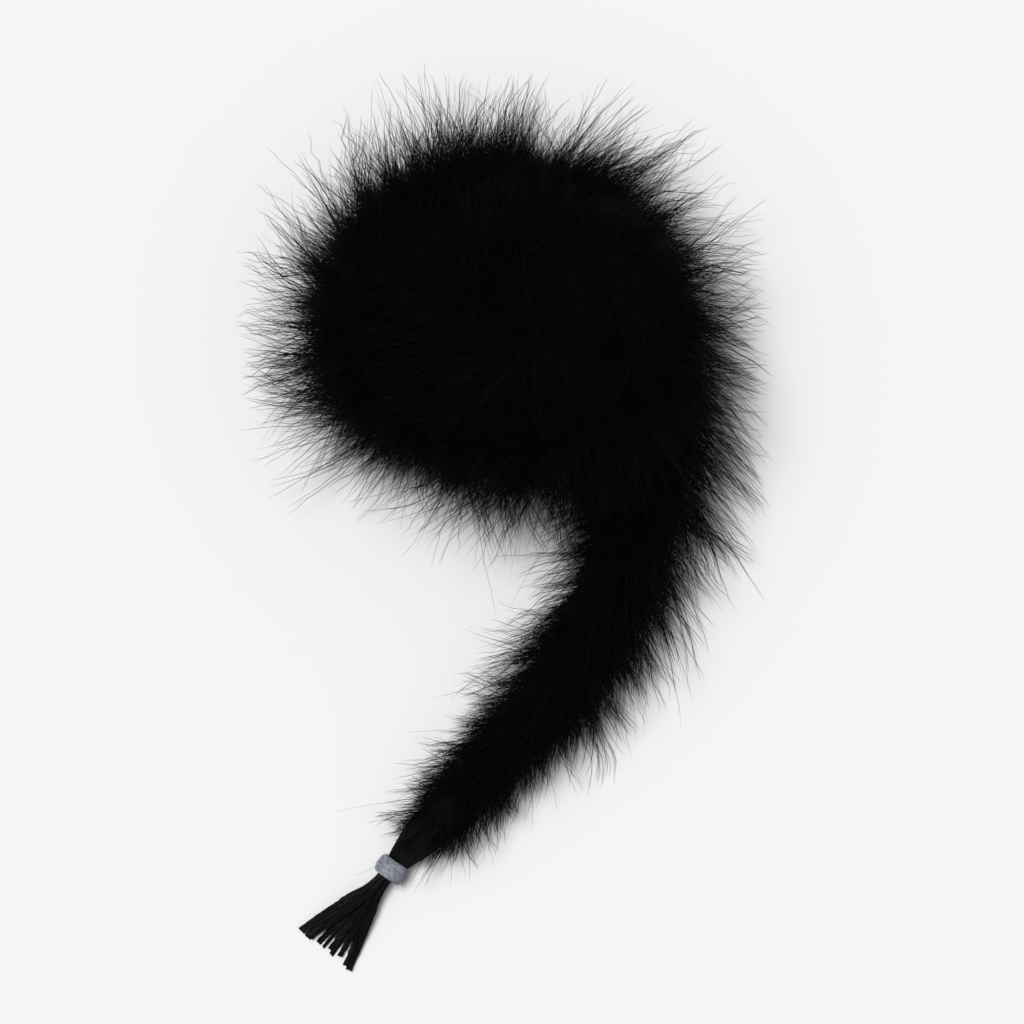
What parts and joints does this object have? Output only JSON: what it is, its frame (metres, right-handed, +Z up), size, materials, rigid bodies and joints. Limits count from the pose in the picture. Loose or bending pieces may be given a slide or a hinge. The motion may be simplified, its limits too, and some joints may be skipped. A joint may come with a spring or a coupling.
{
  "type": "feather boa",
  "caption": "Fluffy down boa coiled flat in layers, its thinning tail gathered by a wound elastic tie into a fringe of flat strands.",
  "frame": {"origin": "under the middle of the object's bounding box, at table height", "axes": "+Z up from the table, +Y from the tassel towards the coil, +X to the right of that, seen from above"},
  "size_m": [0.2268, 0.4136, 0.0845],
  "materials": {
    "black_down": "matte",
    "quill_fibres": "satin",
    "core_cord": "matte",
    "thread": "matte",
    "ribbon": "satin",
    "wound_yarn": "matte"
  },
  "bodies": {
    "coil": {"coil_plumes_01": "black_down", "coil_plumes_02": "black_down", "coil_plumes_03": "black_down", "coil_plumes_04": "black_down", "coil_plumes_05": "black_down", "coil_plumes_06": "black_down", "coil_plumes_07": "black_down", "coil_plumes_08": "black_down", "coil_plumes_09": "black_down", "coil_plumes_10": "black_down", "coil_plumes_11": "black_down", "coil_plumes_12": "black_down", "coil_plumes_13": "black_down", "coil_plumes_14": "black_down", "coil_plumes_15": "black_down", "coil_plumes_16": "black_down", "coil_plumes_17": "black_down", "coil_plumes_18": "black_down", "coil_plumes_19": "black_down", "coil_plumes_20": "black_down", "coil_plumes_21": "black_down", "coil_plumes_22": "black_down", "coil_plumes_23": "black_down", "coil_plumes_24": "black_down", "core_cord_coil": "core_cord", "inner_end_whipping": "thread"},
    "tail_base": {"core_cord_tail_base": "core_cord", "tail_plumes_01": "black_down", "tail_plumes_02": "black_down"},
    "tail_tip": {"core_cord_tail_tip": "core_cord", "tail_plumes_03": "black_down", "tail_plumes_04": "black_down", "tail_plumes_05": "black_down", "plume_collar": "quill_fibres", "tail_whipping": "thread", "tassel_strand_01": "ribbon", "tassel_strand_02": "ribbon", "tassel_strand_03": "ribbon", "tassel_strand_04": "ribbon", "tassel_strand_05": "ribbon", "tassel_strand_06": "ribbon", "tassel_strand_07": "ribbon", "tassel_strand_08": "ribbon", "tassel_strand_09": "ribbon", "tassel_strand_10": "ribbon"},
    "tie": {"elastic_tie": "wound_yarn"}
  },
  "joints": [
    {"name": "tail_base_swing", "type": "hinge", "parent": "coil", "child": "tail_base", "pos_m": [0.0679, 0.04837, 0.0169], "axis": [0, 0, 1], "range_deg": [0, 28]},
    {"name": "tail_tip_swing", "type": "hinge", "parent": "tail_base", "child": "tail_tip", "pos_m": [0.04244, -0.04763, 0.0146], "axis": [0, 0, 1], "range_deg": [-20, 20]},
    {"name": "tie_slide", "type": "slide", "parent": "tail_tip", "child": "tie", "axis": [-0.6402, -0.7682, 0], "range_m": [0, 0.062], "deforming": ["tassel_strand_01", "tassel_strand_02", "tassel_strand_03", "tassel_strand_04", "tassel_strand_05", "tassel_strand_06", "tassel_strand_07", "tassel_strand_08", "tassel_strand_09", "tassel_strand_10"]}
  ]
}
